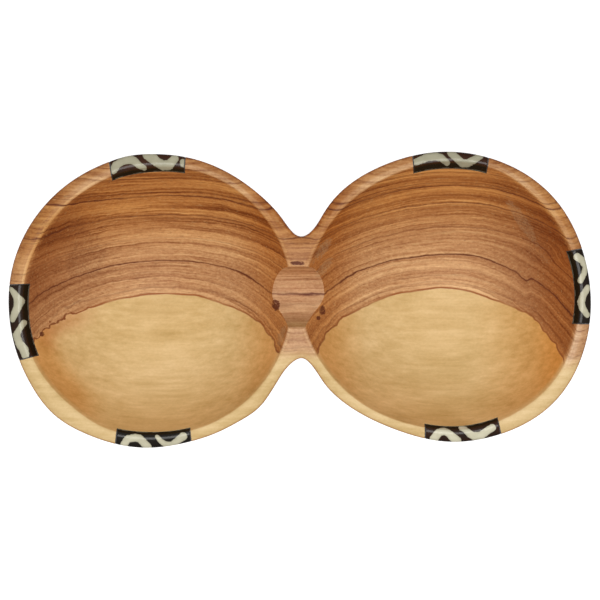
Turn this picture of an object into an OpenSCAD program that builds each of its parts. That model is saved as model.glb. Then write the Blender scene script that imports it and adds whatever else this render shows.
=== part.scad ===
// Twin olive dish: two round bowls carved side by side from one block of wood, with a scooped
// channel through the wall they share and six bone tiles glued flush into notches in the rim.
// Millimetres, +Z up. The dish stands on z = 0 and its long side lies along X.

/* [Bowls] */
// Wood left between the two hollows at the rim
web = 5.8; // [3:0.1:12]
// How far the right bowl lies behind the left one
bowl_stagger = 1.5; // [0:0.1:4]
// Outer radius of the left bowl at the rim
left_r = 51.5; // [49:0.1:54]
// Outer radius of the right bowl at the rim
right_r = 51; // [49:0.1:54]
// Height of the rim above the table
height = 35.5; // [32:0.5:42]
// Radius of the flat that each bowl stands on
base_r = 27; // [20:0.5:32]
// Radius of the arc that the outer wall follows from the base to the rim
wall_arc = 60; // [45:1:90]
// Rounding of the outer rim edge
rim_round = 1.6; // [0.4:0.1:2]
// How strongly the swells and flats of hand carving show
carving = 1; // [0:0.1:1.3]

/* [Hollows] */
// Width of the left bowl's rim
left_rim = 4.8; // [3.8:0.1:7]
// Width of the right bowl's rim
right_rim = 3.4; // [3.2:0.1:7]
// How far each hollow sits off the middle of its bowl, toward the neck
hollow_shift = 1; // [0:0.1:1.5]
// Thickness of the floor at the middle of each bowl
floor_thickness = 7; // [5:0.5:10]
// Rounding of the inner rim edge
edge_round = 0.8; // [0.3:0.1:1.2]

/* [Neck] */
// Distance from the long middle line to the waist at the back
neck_back = 21.9; // [19:0.1:26]
// Distance from the long middle line to the waist at the front
neck_front = 20.4; // [19:0.1:26]
// How far below the table the narrowing neck would close
keel_drop = 2.5; // [1:0.5:12]
// Height of the arch cut under the neck
arch_rise = 11; // [6:0.5:14]
// Radius of the channel between the hollows
channel_r = 10.4; // [7:0.1:12]
// How far the channel's round lies behind the long middle line
channel_back = 1.2; // [0:0.1:3]
// Distance from the long middle line to the front lip of the channel
channel_front = 10.3; // [8:0.1:12]
// Slope of the channel's front side, in degrees
channel_slope = 47; // [35:1:60]
// Rounding between the channel's bed and its front side
channel_blend = 4; // [1:0.5:6]

/* [Inlays] */
// Length of each bone tile along the rim
inlay_length = 25.6; // [20:0.1:32]
// Depth of the tile at the back of the left bowl
left_back_depth = 3; // [1.5:0.5:7]
// Depth of the tile at the left end
left_side_depth = 3.5; // [1.5:0.5:7]
// Depth of the tile at the front of the left bowl
left_front_depth = 2; // [1.5:0.5:7]
// Depth of the tile at the back of the right bowl
right_back_depth = 4; // [1.5:0.5:7]
// Depth of the tile at the right end
right_side_depth = 3; // [1.5:0.5:7]
// Depth of the tile at the front of the right bowl
right_front_depth = 2.5; // [1.5:0.5:7]
// Bearings of the left bowl's tiles: back, side, front
left_inlay_bearing = [93, 188.5, 269.5]; // [80:0.5:280]
// Bearings of the right bowl's tiles: back, side, front
right_inlay_bearing = [88.5, 4.5, 276.5]; // [0:0.5:280]
// Thickness of the glue under each tile and at its two ends
glue_gap = 0.3; // [0.2:0.05:0.6]

/* [Hidden] */

WOOD = "#b9803f";
BONE = "#2e2018";
GLUE = "#17100b";

// The two sides of the dish, as signs along X
LEFT = -1;
RIGHT = 1;

// Hand carving of each rim: bearing in degrees, swell in millimetres, spread in degrees
LEFT_SWELLS = [[28, 1.5, 16], [100, 0.4, 8], [186, -0.4, 18], [228, 1.2, 14], [283, -0.8, 16],
    [314, 1, 8]];
RIGHT_SWELLS = [[14, -1.1, 24], [71, -0.3, 20], [138, 1.8, 20], [213, 1.2, 14], [249, -1.7, 20],
    [315, 2, 24]];
LEFT_HOLLOW_SWELLS = [[22, 0.9, 28], [63, 1.4, 28], [105, 0.3, 8], [168, 0.4, 12], [205, 1.3, 28],
    [248, 1.2, 14]];
RIGHT_HOLLOW_SWELLS = [[67, 1, 14], [116, -0.9, 20], [187, 2.6, 24], [256, -1.5, 24], [324, 0.8, 18]];

// Fineness of the carved surfaces
ARC_STEPS = 60;
NECK_STEPS = 8;
WALL_STEPS = 7;
ROUND_STEPS = 3;
HOLLOW_STEPS = 60;
HOLLOW_RINGS = 7;
SECTOR_STEPS = 8;
$fn = 96;

// How far a cutting tool runs past the surface that it cuts
overrun = 3;
// Slope at which the inner edge rounding runs out into the flat rim, in degrees
edge_runout = 20;

function rim_r(side) = side == LEFT ? left_r : right_r;
function hollow_r(side) = side == LEFT ? left_r - left_rim : right_r - right_rim;
bowl_spacing = hollow_r(LEFT) + hollow_r(RIGHT) + 2 * hollow_shift + web;
half_spacing = bowl_spacing / 2;
mean_r = (left_r + right_r) / 2;

// The outer wall's arc, from the base flat to the start of the rim rounding
wall_rise = height - rim_round;
wall_run = mean_r - base_r;
wall_chord = norm([wall_run, wall_rise]);
arc_reach = sqrt(wall_arc ^ 2 - (wall_chord / 2) ^ 2);
arc_x = (mean_r + base_r) / 2 - arc_reach * wall_rise / wall_chord;
arc_z = wall_rise / 2 + arc_reach * wall_run / wall_chord;

hollow_depth = height - floor_thickness;
neck_drop = height + keel_drop;

// The arch under the neck springs from the two base flats
arch_span = half_spacing - base_r;
arch_r = (arch_span ^ 2 + arch_rise ^ 2) / (2 * arch_rise);

inlay_bearing = concat(left_inlay_bearing, right_inlay_bearing);
inlay_depth = [left_back_depth, left_side_depth, left_front_depth,
    right_back_depth, right_side_depth, right_front_depth];
function inlay_side(i) = i < len(left_inlay_bearing) ? LEFT : RIGHT;

function total(v, i = 0) = i < len(v) ? v[i] + total(v, i + 1) : 0;
function wrap(a) = a - 360 * round(a / 360);
function bearing(a) = [cos(a), sin(a)];

// Sum of the swells at bearing a
function swell(swells, a) =
    carving * total([for (s = swells) s[1] * exp(-((wrap(a - s[0]) / s[2]) ^ 2))]);

// How far a bowl's rim stands outside the mean circle at bearing a
function bulge(side, a) =
    rim_r(side) - mean_r + swell(side == LEFT ? LEFT_SWELLS : RIGHT_SWELLS, a);

// A point of the evenly laid out dish, moved to its place beside or behind the middle
function staggered(p) = [p.x, p.y + bowl_stagger * p.x / bowl_spacing];
function placed(p, z) = let (q = staggered(p) + middle) [q.x, q.y, z];

// Height, bowl radius and rim inset of the rings of the outside, from the base to the flat of the rim
function wall_r(z) = arc_x + sqrt(wall_arc ^ 2 - (z - arc_z) ^ 2);
wall_levels = [for (i = [0 : WALL_STEPS]) let (z = wall_rise * i / WALL_STEPS) [z, wall_r(z), 0]];
rim_levels = [for (i = [1 : ROUND_STEPS])
    let (a = 90 * i / ROUND_STEPS, inset = rim_round * (1 - cos(a)))
    [wall_rise + rim_round * sin(a), mean_r - inset, inset]];

// A point on the outside of one bowl at bearing a
function bowl_point(side, level, a) =
    [side * half_spacing, 0] + (level[1] + bulge(side, a) * level[0] / height) * bearing(a);

// How far the waist stands from the middle line at height z, as a share of its distance at the rim
function neck_scale(z) = sqrt(1 - ((height - z) / neck_drop) ^ 2);
// Radius of the round that joins two bowls of radius r at a waist w from the middle line
function waist_r(w, r) = (w ^ 2 + half_spacing ^ 2 - r ^ 2) / (2 * (r - w));
// Bearing, from a bowl's middle, at which that round touches the bowl
function waist_bearing(w, r) = atan2(w + waist_r(w, r), half_spacing);

// Mean swell of the two bowls beside the waist at the back and at the front
back_bulge = let (b = waist_bearing(neck_back, mean_r)) (bulge(LEFT, b) + bulge(RIGHT, 180 - b)) / 2;
front_bulge = let (f = waist_bearing(neck_front, mean_r)) (bulge(LEFT, -f) + bulge(RIGHT, 180 + f)) / 2;

// The neck's round behind the middle line, from right to left, with the bowls' swells dying out at the waist
function neck_arc(w, r, right_bulge, left_bulge) = let (f = waist_r(w, r), b = waist_bearing(w, r))
    [for (i = [0 : NECK_STEPS - 1])
        let (t = i / NECK_STEPS,
            d = right_bulge * max(0, 1 - 2 * t) ^ 2 + left_bulge * max(0, 2 * t - 1) ^ 2)
        [0, w + f] + (f - d) * bearing(-b - (180 - 2 * b) * t)];

// One bowl's share of the outline, between the two places where the neck's rounds touch it
function bowl_arc(side, level, from, to) = [for (i = [0 : ARC_STEPS - 1])
    bowl_point(side, level, from + (to - from) * i / ARC_STEPS)];

// The whole figure-of-eight outline at one level
function outline(level) = let (
        z = level[0],
        fade = z / height,
        back = neck_back * neck_scale(z) - level[2],
        front = neck_front * neck_scale(z) - level[2],
        back_r = level[1] + fade * back_bulge,
        front_r = level[1] + fade * front_bulge,
        b = waist_bearing(back, back_r),
        f = waist_bearing(front, front_r))
    concat(
        bowl_arc(LEFT, level, b, 360 - f),
        -neck_arc(front, front_r,
            fade * (bulge(LEFT, -f) - front_bulge), fade * (bulge(RIGHT, 180 + f) - front_bulge)),
        bowl_arc(RIGHT, level, 180 + f, 540 - b),
        neck_arc(back, back_r,
            fade * (bulge(RIGHT, 180 - b) - back_bulge), fade * (bulge(LEFT, b) - back_bulge)));

// The move that brings the middle of the bounding box over the origin
widest = [for (p = outline(wall_levels[WALL_STEPS])) staggered(p)];
middle = -[for (axis = [0, 1]) let (v = [for (p = widest) p[axis]]) max(v) + min(v)] / 2;

// Triangles between stacked rings of n points, from point number first
function side_faces(n, rings, first = 0) = [for (j = [0 : rings - 2], i = [0 : n - 1])
    let (a = first + j * n + i, b = first + j * n + (i + 1) % n)
    each [[a, a + n, b + n], [a, b + n, b]]];

function reversed(faces) = [for (face = faces) [for (i = [len(face) - 1 : -1 : 0]) face[i]]];

// A flat face across the figure-of-eight ring at point number first, in strips from back to front
function cap_faces(first) = let (
        n = 2 * (ARC_STEPS + NECK_STEPS),
        far_left = ARC_STEPS / 2,
        last = ARC_STEPS + NECK_STEPS - 1)
    [for (k = [0 : last]) let (
            back = [for (j = [k, k + 1]) first + (far_left - j + n) % n],
            front = [for (j = [k, k + 1]) first + far_left + j])
        k == 0 ? [back[1], front[1], front[0]]
            : k == last ? [back[0], front[1], front[0]]
            : [back[0], back[1], front[1], front[0]]];

// The outside of the dish before anything is cut into it
module carved_block() {
    rings = [for (level = concat(wall_levels, rim_levels)) [for (p = outline(level)) placed(p, level[0])]];
    n = len(rings[0]);
    polyhedron(
        points = [for (ring = rings) each ring],
        faces = concat(
            side_faces(n, len(rings)),
            reversed(cap_faces(0)),
            cap_faces(n * (len(rings) - 1))));
}

function hollow_swells(side) = side == LEFT ? LEFT_HOLLOW_SWELLS : RIGHT_HOLLOW_SWELLS;
function hollow_middle(side) = middle + side * [half_spacing - hollow_shift, bowl_stagger / 2];
// Radius of the ball whose cap is the hollow
function ball_r(side) = (hollow_r(side) ^ 2 + hollow_depth ^ 2) / (2 * hollow_depth);
// Slope of the hollow's wall where it meets the rim, in degrees
function rim_slope(side) = asin(hollow_r(side) / ball_r(side));
// Width that the inner edge rounding takes off the flat of the rim
function edge_width(side) = edge_round * tan(rim_slope(side) / 2);
// Radius of the hollow at a depth below the rim
function hollow_r_at(side, depth) = sqrt(ball_r(side) ^ 2 - (ball_r(side) - hollow_depth + depth) ^ 2);

// Radius and height on the ball, at an angle a up from its lowest point
function ball_point(side, a) = ball_r(side) * [sin(a), -cos(a)] + [0, height - hollow_depth + ball_r(side)];
// Radius and height on the rounded inner edge, where its slope is a
function edge_point(side, a) =
    edge_round * [-sin(a), cos(a)] + [hollow_r(side) + edge_width(side), height - edge_round];
// Radius and height where the edge runs out at height z
function runout_point(side, z) = let (p = edge_point(side, edge_runout))
    [p[0] + (z - p[1]) / tan(edge_runout), z];

// Angle on the ball at which the rounded edge starts
function edge_start(side) = rim_slope(side) - asin(edge_width(side) / ball_r(side));
function edge_profile(side) =
    [for (a = [(rim_slope(side) + edge_runout) / 2, edge_runout]) edge_point(side, a)];

// A point of the hollow's wall at bearing a, from its radius and height
function hollow_point(side, p, a) = let (
        r = p[0] + swell(hollow_swells(side), a) * (p[1] - floor_thickness) / hollow_depth,
        q = hollow_middle(side) + r * bearing(a))
    [q.x, q.y, p[1]];

// The tool that carves one hollow
module hollow(side) {
    profile = concat(
        [for (i = [1 : HOLLOW_RINGS]) ball_point(side, edge_start(side) * i / HOLLOW_RINGS)],
        edge_profile(side),
        [runout_point(side, height + overrun)]);
    rings = [for (p = profile, i = [0 : HOLLOW_STEPS - 1]) hollow_point(side, p, 360 * i / HOLLOW_STEPS)];
    n = HOLLOW_STEPS;
    top = 1 + n * (len(profile) - 1);
    m = hollow_middle(side);
    polyhedron(
        points = concat([[m.x, m.y, floor_thickness]], rings, [[m.x, m.y, height + overrun]]),
        faces = concat(
            [for (i = [0 : n - 1]) [0, 1 + i, 1 + (i + 1) % n]],
            side_faces(n, len(profile), 1),
            [for (i = [0 : n - 1]) [top + n, top + (i + 1) % n, top + i]]));
}

// The channel seen along X, from the rim down: round behind, with a straight slope up to the front lip
module channel_profile() {
    back_end = channel_back + channel_r;
    lean = channel_r / tan(channel_slope);
    offset(r = channel_blend) offset(delta = -channel_blend) intersection() {
        union() {
            translate([channel_back, 0]) circle(channel_r);
            translate([-channel_front - lean, -channel_r])
                square([channel_back + channel_front + lean, 2 * channel_r]);
        }
        polygon([[-channel_front - lean, channel_r], [-channel_front + lean, -channel_r],
            [back_end, -channel_r], [back_end, channel_r]]);
    }
}

// The tool that cuts the channel through the wall between the hollows
module channel() {
    ends = [for (side = [LEFT, RIGHT])
        hollow_middle(side).x - side * (hollow_r_at(side, channel_r) - overrun)];
    translate([ends[0], 0, height]) rotate([90, 0, 90]) linear_extrude(ends[1] - ends[0]) channel_profile();
}

// The tool that relieves the underside of the neck
module arch() {
    translate([middle.x, 0, arch_rise - arch_r]) rotate([90, 0, 0])
        cylinder(r = arch_r, h = bowl_spacing, center = true);
}

// The stretch of plain rim that tile i is let into, a little longer and deeper than the tile
module rim_stretch(i) {
    side = inlay_side(i);
    deep = inlay_depth[i] + overrun;
    half = asin((inlay_length / 2 + overrun) / hollow_r_at(side, deep));
    ball_a = [for (depth = [deep, deep / 2]) asin(hollow_r_at(side, depth) / ball_r(side))];
    inner = concat(
        [for (a = concat(ball_a, edge_start(side))) ball_point(side, a)],
        edge_profile(side),
        [runout_point(side, height)]);
    outer = concat(
        [for (z = [height - deep, height - deep / 2, wall_rise]) [z, wall_r(z), 0]],
        rim_levels);
    m = len(inner);
    rings = [for (j = [0 : SECTOR_STEPS]) let (a = inlay_bearing[i] + half * (2 * j / SECTOR_STEPS - 1))
        concat(
            [for (p = inner) hollow_point(side, p, a)],
            [for (k = [m - 1 : -1 : 0]) placed(bowl_point(side, outer[k], a), outer[k][0])])];
    end = [for (k = [0 : m - 2]) each [[k, k + 1, 2 * m - 2 - k], [k, 2 * m - 2 - k, 2 * m - 1 - k]]];
    far_end = [for (face = end) face + 2 * m * SECTOR_STEPS * [1, 1, 1]];
    polyhedron(
        points = [for (ring = rings) each ring],
        faces = concat(side_faces(2 * m, len(rings)), end, reversed(far_end)));
}

// The space of tile i in the rim, let out by gap below and at both ends
module inlay_space(i, gap = 0) {
    side = inlay_side(i);
    depth = inlay_depth[i] + gap;
    length = inlay_length + 2 * gap;
    near = hollow_r_at(side, depth) - inlay_length / 2;
    translate(placed([side * half_spacing, 0], height - depth))
        rotate(inlay_bearing[i])
        translate([near, -length / 2, 0])
        cube([rim_r(side) + overrun - near, length, depth + overrun]);
}

module twin_bowl() {
    color(WOOD) difference() {
        carved_block();
        hollow(LEFT);
        hollow(RIGHT);
        channel();
        arch();
        for (i = [0 : len(inlay_depth) - 1]) inlay_space(i, glue_gap);
    }
}

module inlay(i) {
    color(BONE) intersection() {
        rim_stretch(i);
        inlay_space(i);
    }
}

module glue(i) {
    color(GLUE) intersection() {
        rim_stretch(i);
        difference() {
            inlay_space(i, glue_gap);
            inlay_space(i);
        }
    }
}

twin_bowl();
inlay(0);  // inlay_left_back
inlay(1);  // inlay_left_side
inlay(2);  // inlay_left_front
inlay(3);  // inlay_right_back
inlay(4);  // inlay_right_side
inlay(5);  // inlay_right_front
glue(0);  // glue_left_back
glue(1);  // glue_left_side
glue(2);  // glue_left_front
glue(3);  // glue_right_back
glue(4);  // glue_right_side
glue(5);  // glue_right_front
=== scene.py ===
"""Dresses the twin olive dish: carved wood, six dyed bone tiles with their glue, and a plain studio."""

import math

import bmesh
import bpy
import numpy as np
from bpy.props import FloatProperty, FloatVectorProperty, PointerProperty
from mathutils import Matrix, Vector, noise


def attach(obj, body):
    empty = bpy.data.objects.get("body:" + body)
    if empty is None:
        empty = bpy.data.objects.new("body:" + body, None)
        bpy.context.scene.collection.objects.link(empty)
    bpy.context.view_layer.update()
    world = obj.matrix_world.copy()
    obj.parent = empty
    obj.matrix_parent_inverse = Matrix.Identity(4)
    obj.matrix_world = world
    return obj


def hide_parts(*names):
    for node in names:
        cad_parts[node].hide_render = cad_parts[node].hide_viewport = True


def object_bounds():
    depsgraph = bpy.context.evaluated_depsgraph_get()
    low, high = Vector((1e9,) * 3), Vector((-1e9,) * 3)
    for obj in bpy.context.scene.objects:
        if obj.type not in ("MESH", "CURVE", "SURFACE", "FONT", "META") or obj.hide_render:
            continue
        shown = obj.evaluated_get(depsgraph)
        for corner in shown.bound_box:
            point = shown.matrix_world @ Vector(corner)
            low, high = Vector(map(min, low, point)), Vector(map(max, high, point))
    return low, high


bl_info = {
    "name": "Twin olive dish",
    "version": (1, 0, 0),
    "blender": (4, 5, 0),
    "location": "View3D > Sidebar > Olive dish",
    "description": "Carved wood, bone tiles and glue lines for the packed olive dish, with a plain studio",
    "category": "Object",
}

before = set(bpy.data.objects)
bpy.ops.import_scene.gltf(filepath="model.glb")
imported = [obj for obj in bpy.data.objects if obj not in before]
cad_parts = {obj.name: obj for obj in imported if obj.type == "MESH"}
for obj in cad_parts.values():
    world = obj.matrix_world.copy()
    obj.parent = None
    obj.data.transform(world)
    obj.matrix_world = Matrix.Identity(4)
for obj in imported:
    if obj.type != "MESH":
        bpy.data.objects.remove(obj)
CAD_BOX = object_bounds()

MM = 0.001
LEFT, RIGHT = -1, 1

# Hand carving of each rim and each hollow: bearing in degrees, swell in millimetres, spread in degrees
RIM_SWELLS = {
    LEFT: ((28, 1.5, 16), (100, 0.4, 8), (186, -0.4, 18), (228, 1.2, 14), (283, -0.8, 16), (314, 1, 8)),
    RIGHT: ((14, -1.1, 24), (71, -0.3, 20), (138, 1.8, 20), (213, 1.2, 14), (249, -1.7, 20), (315, 2, 24)),
}
HOLLOW_SWELLS = {
    LEFT: ((22, 0.9, 28), (63, 1.4, 28), (105, 0.3, 8), (168, 0.4, 12), (205, 1.3, 28), (248, 1.2, 14)),
    RIGHT: ((67, 1, 14), (116, -0.9, 20), (187, 2.6, 24), (256, -1.5, 24), (324, 0.8, 18)),
}

# Each tile: its bowl, its bearing in degrees, its depth in millimetres, how brown its dye is, how bright its
# bare bone is, and its pale strokes. A stroke runs through points given as distance along the rim, distance
# out from the bowl's nominal rim, and half width, in millimetres.
TILES = {
    "left_back": (LEFT, 93.0, 3.0, 0.9, 0.76, (
        ((11.9, -5.0, 1.3), (10.9, -3.3, 1.4), (8.8, -2.0, 1.4), (6.3, -1.4, 1.6), (4.6, -2.1, 1.4),
         (2.9, -3.8, 1.1), (1.2, -4.7, 0.9)),
        ((-0.5, -0.1, 2.0), (-3.4, -3.0, 1.6), (-5.5, -4.2, 1.7), (-7.6, -4.1, 1.7), (-9.6, -2.1, 1.4)),
        ((-12.3, -3.2, 0.9), (-12.3, -4.4, 0.8)))),
    "left_side": (LEFT, 188.5, 3.5, 0.35, 0.92, (
        ((-11.6, -2.6, 0.8), (-9.1, -4.0, 1.2), (-7.0, -4.7, 1.9), (-5.0, -3.9, 1.4), (-3.1, -2.6, 1.3),
         (-1.2, -1.5, 1.0)),
        ((0.6, -5.2, 1.0), (2.6, -3.4, 1.0), (4.5, -2.0, 1.3), (7.2, -2.5, 1.4), (9.9, -3.9, 1.6),
         (11.7, -4.1, 1.4)))),
    "left_front": (LEFT, 269.5, 2.0, 0.0, 1.08, (
        ((-10.2, -1.5, 1.3), (-9.0, -3.4, 1.3), (-6.7, -3.9, 1.3), (-4.8, -3.6, 1.3), (-3.4, -2.2, 1.3),
         (-2.0, -0.6, 1.4)),
        ((1.3, -4.3, 0.7), (2.5, -2.9, 0.9), (4.1, -1.7, 1.0), (6.5, -1.5, 1.0), (8.6, -3.1, 1.2),
         (10.4, -4.5, 1.4)))),
    "right_back": (RIGHT, 88.5, 4.0, 0.8, 0.72, (
        ((12.3, -4.2, 1.1), (10.6, -3.5, 1.3), (8.2, -2.4, 1.4), (5.4, -1.9, 1.4), (3.3, -2.4, 1.3),
         (1.2, -4.1, 1.0)),
        ((-0.1, -0.6, 1.3), (-2.3, -2.6, 1.3), (-4.2, -4.1, 1.3), (-6.0, -4.1, 1.3), (-8.2, -2.8, 1.3),
         (-10.3, -1.5, 1.1)))),
    "right_side": (RIGHT, 4.5, 3.0, 0.1, 1.05, (
        ((10.5, -4.6, 1.3), (9.0, -2.8, 1.3), (6.8, -1.9, 1.0), (4.6, -2.6, 1.0), (2.1, -4.1, 1.0)),
        ((-0.6, -1.8, 1.1), (-2.9, -3.4, 1.2), (-5.3, -4.5, 1.2), (-7.7, -4.1, 1.2), (-10.0, -2.7, 1.0)))),
    "right_front": (RIGHT, 276.5, 2.5, 0.5, 1.18, (
        ((-10.1, -2.4, 1.5), (-8.3, -4.3, 1.4), (-6.5, -4.6, 1.2), (-5.0, -3.9, 1.2), (-3.7, -2.4, 1.4),
         (-2.2, -0.8, 1.5)),
        ((-0.3, -5.0, 0.8), (1.1, -4.3, 1.0), (2.3, -2.8, 1.2), (3.9, -1.7, 1.4), (6.4, -1.6, 1.4),
         (8.4, -2.9, 1.3), (10.5, -3.9, 1.3)))),
}

# Dark growth lines of the wood: place across the rings at rim level, width and strength
GROWTH_LINES = (
    (40.6, 0.5, 0.35), (36.2, 0.5, 0.12), (33.4, 0.5, 0.6), (31.4, 0.6, 0.85), (25.3, 0.9, 0.16),
    (21.1, 0.55, 0.65), (19.6, 0.5, 0.35), (18.0, 0.45, 0.22), (14.0, 0.5, 0.12), (8.7, 0.5, 0.38),
    (6.2, 0.5, 0.18), (2.2, 0.5, 0.1), (-3.9, 0.65, 0.95), (-6.5, 0.45, 0.15), (-10.2, 0.7, 0.14),
    (-12.6, 0.8, 0.16), (-16.4, 0.5, 0.18),
)

# Small dark knots: place seen from above, half size and strength
KNOTS = (
    ((-0.9, 12.8), (2.6, 0.75), 1.0), ((-8.4, -1.8), (1.4, 2.0), 0.95), ((8.0, -3.8), (1.1, 1.6), 0.9),
    ((6.6, -6.4), (0.8, 0.7), 0.9), ((-90.6, -12.2), (0.8, 0.9), 0.9),
)

# Dark specked stains in the hollows: place seen from above, half size and strength
STAINS = (
    ((-76.0, 15.0), (8.0, 8.0), 0.4), ((84.0, 22.0), (8.0, 9.0), 0.4), ((-86.0, 26.0), (9.0, 7.0), 0.3),
)

# Pale scuffs in the hollows: place seen from above, half length, half width, heading in degrees and strength
SCUFFS = (
    ((79.0, 26.6), 12.5, 1.8, -57.0, 0.42), ((7.3, 17.0), 6.0, 1.8, 49.0, 0.6),
    ((8.3, 10.8), 4.0, 1.6, 52.0, 0.5), ((-5.9, -12.3), 3.8, 1.4, 73.0, 0.5),
)

# How wear, oil, painted sheen and painted shade tint the wood, as shares of its red, green and blue
# Paler heartwood: wear and painted sheen on the rim; on the web and channel it takes off the painted neck
# shade
WEAR_AND_SHEEN_HEART = (1.18, 1.52, 2.45)
# Painted shade on the heartwood near the neck
NECK_SHADE_HEART = (0.84, 0.66, 0.46)
# Painted shade on the channel's front slope
CHANNEL_FRONT_SHADE = (0.55, 0.5, 0.36)
# Paler sapwood on the rim: wear and painted sheen
WEAR_AND_SHEEN_SAP = (1.05, 1.07, 1.13)
# Painted shade on steep walls, for heartwood and for sapwood
STEEP_SHADE_HEART = (1.12, 1.0, 0.85)
STEEP_SHADE_SAP = (1.06, 0.8, 0.56)
# Painted shade on the wall at the right end
RIGHT_WALL_SHADE = (1.0, 0.88, 0.68)
BLUSH_SAP = (0.86, 0.7, 0.65)
DARKEST_TONE = 0.05

# Fineness of the carved surfaces
ARC_STEPS = 150
NECK_STEPS = 24
WALL_STEPS = 22
ROUND_STEPS = 8
LAND_STEPS = 9
SEAM_STEPS = 59
FLOOR_STEPS, FLOOR_SHARE = 34, 0.6
HOLLOW_STEPS = 50
CHANNEL_POINTS, CHANNEL_STATIONS = 60, 12
TILE_STATIONS = 110
TILE_WALL_STEPS, TILE_LAND_STEPS = 8, 24
GLUE_END_POINTS, GLUE_BED_POINTS = 7, 40
FIT_ROUNDS = 8

# The base's rounded edge: height and distance in, as shares of its rounding
BASE_EDGE = ((0.0, 0.8), (0.15, 0.36), (0.45, 0.12), (1.0, 0.0))

# Waves that the gouge left: how many to the metre, a seed, the plain height next to the rim and the base,
# and the height over which they fade in
OUTSIDE_WAVES, OUTSIDE_SEED, OUTSIDE_PLAIN = 55.0, 1.7, 4 * MM
HOLLOW_WAVES, HOLLOW_SEED, HOLLOW_PLAIN = 70.0, 4.1, 3 * MM
BASE_PLAIN, WAVE_FADE = 2 * MM, 8 * MM

# Softness of the edge of the neck's arch, and how far the cutters reach past what they cut
ARCH_BLEND = 1.6 * MM
OVERRUN = 3 * MM

# Distance in from the rim to the middle of the tiles, the easing of their ends, and how far the glue is sunk
TILE_MIDDLE = 2.4 * MM
TILE_EASE = 0.12 * MM
GLUE_SUNK = 0.08 * MM

# Depth past which a hollow's edge is no longer round, the least step up from a tile's foot, and the reach
# of the weld along the seams
EDGE_DEPTH = 0.9 * MM
FOOT_STEP = 0.1 * MM
WELD_REACH = 0.002 * MM

# What each point of a tile stores: the distance to its pale strokes, how brown its dye is, how bright its
# bare bone is, and its height above the tile's foot
TILE_ATTRIBUTES = ("resist", "brown", "bright", "foot")

# Angles past which an edge stays sharp, in degrees
SHARP_BLANK, SHARP_WOOD, SHARP_BONE, SHARP_EDGE = 50, 40, 40, 30

# Step along the rim, in degrees, that its heading is measured over
HEADING_STEP = 0.5


def length(name, description, millimetres):
    """A size that a user may change."""
    return FloatProperty(name=name, description=description, default=millimetres * MM,
                         min=0.0, unit="LENGTH", precision=5)


def angle(name, description, degrees):
    """An angle that a user may change."""
    return FloatProperty(name=name, description=description, default=math.radians(degrees),
                         min=0.0, subtype="ANGLE")


def factor(name, description, value, most):
    """A share that a user may change."""
    return FloatProperty(name=name, description=description, default=value,
                         min=0.0, max=most, subtype="FACTOR")


def colour(name, description, value):
    """A colour that a user may change."""
    return FloatVectorProperty(name=name, description=description, default=value,
                               subtype="COLOR", size=3, min=0.0, max=1.0)


class DishSizes(bpy.types.PropertyGroup):
    """Sizes of the carved dish and its tiles."""

    height: length("Height", "Height of the rim above the table", CAD_BOX[1].z / MM)
    web: length("Web", "Wood left between the two hollows at the rim", 5.8)
    stagger: length("Stagger", "How far the right bowl lies behind the left one", 1.5)
    left_r: length("Left radius", "Outer radius of the left bowl at the rim", 51.5)
    right_r: length("Right radius", "Outer radius of the right bowl at the rim", 51.0)
    base_r: length("Base radius", "Radius of the flat that each bowl stands on", 27.0)
    wall_arc: length("Wall arc", "Radius of the arc that the outer wall follows", 60.0)
    wall_drop: length("Wall drop", "Depth below the rim at which the outer wall's arc ends", 1.2)
    left_rim: length("Left rim", "Width of the left bowl's rim", 4.8)
    right_rim: length("Right rim", "Width of the right bowl's rim", 3.4)
    hollow_shift: length("Hollow shift", "How far each hollow sits toward the neck", 1.0)
    floor: length("Floor", "Thickness of the floor at the middle of each bowl", 7.0)
    outer_round: length("Outer rounding", "Rounding of the outer rim edge", 1.5)
    inner_round: length("Inner rounding", "Rounding of the inner rim edge", 0.7)
    outer_fall: length("Outer fall", "How far the rim falls to its outer edge", 0.7)
    outer_fall_width: length("Outer fall width", "Width over which the rim falls to its outer edge", 3.4)
    inner_fall: length("Inner fall", "How far the rim falls to its inner edge", 0.3)
    inner_fall_width: length("Inner fall width", "Width over which the rim falls to its inner edge", 1.5)
    base_round: length("Base rounding", "Rounding of the edge of the base", 1.2)
    neck_back: length("Back waist", "Distance from the middle line to the waist at the back", 22.0)
    neck_front: length("Front waist", "Distance from the middle line to the waist at the front", 20.6)
    waist_shift: length("Waist shift", "How far the two waists lie right of the middle", 0.2)
    waist_reach: angle("Waist reach", "How far round each bowl the waists begin", 5)
    back_pinch: factor("Back pinch", "How straight the flanks of the back waist are", 0.2, 0.9)
    front_pinch: factor("Front pinch", "How straight the flanks of the front waist are", 0.4, 0.9)
    keel_drop: length("Keel drop", "How far below the table the narrowing neck would close", 2.5)
    arch_rise: length("Arch rise", "Height of the arch under the neck", 11.0)
    channel_r: length("Channel radius", "Radius of the channel between the hollows", 10.4)
    channel_back: length("Channel shift", "How far the channel's middle lies behind the middle line", 1.2)
    channel_front: length("Channel front", "Distance from the middle line to the channel's front edge", 10.3)
    channel_blend: length("Channel blend", "Softness of the bend from the channel's bed to its front", 3.0)
    channel_slope: angle("Channel slope", "Slope of the flat on the channel's front side", 47)
    tile_length: length("Tile length", "Length of each bone tile along the rim", 26.0)
    tile_flare: factor("Tile flare", "How far the tiles' ends turn toward the bowl's middle", 0.4, 1.0)
    glue_gap: length("Glue gap", "Thickness of the glue under each tile and at its ends", 0.4)
    tool_marks: length("Tool marks", "Depth of the waves that the gouge left", 0.12)


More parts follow.
